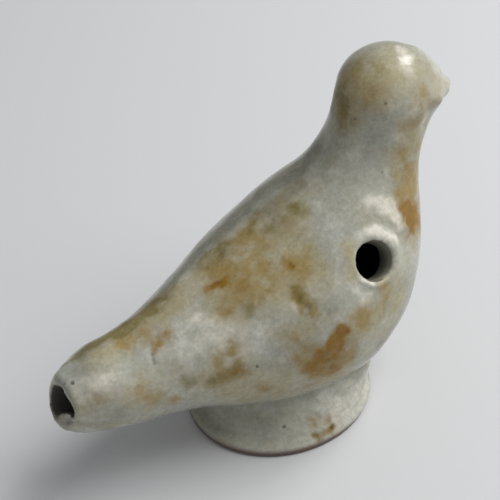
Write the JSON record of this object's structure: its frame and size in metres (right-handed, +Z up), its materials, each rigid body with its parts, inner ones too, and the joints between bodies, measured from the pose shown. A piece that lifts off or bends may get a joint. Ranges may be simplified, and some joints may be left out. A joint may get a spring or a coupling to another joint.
{
  "type": "bird call",
  "caption": "Hand-built glazed stoneware bird whistle on a flared ring foot, blown at the tail, with a finger hole in its right flank.",
  "frame": {"origin": "middle of the foot's standing ring, on the surface that it stands on", "axes": "+X from tail to beak, -Y the bird's right flank with the finger hole, +Z up"},
  "size_m": [0.0928, 0.0398, 0.0674],
  "materials": {
    "glazed_stoneware": "grey-cream gloss glaze, mottled with iron brown",
    "bare_stoneware": "unglazed fired clay, matt"
  },
  "bodies": {
    "root": {"foot_ring": "glazed_stoneware", "lower_bowl": "glazed_stoneware", "upper_bowl": "glazed_stoneware", "neck_collar": "glazed_stoneware", "head": "glazed_stoneware", "beak": "glazed_stoneware", "tail_tube": "glazed_stoneware", "windway_block": "bare_stoneware"}
  },
  "joints": []
}
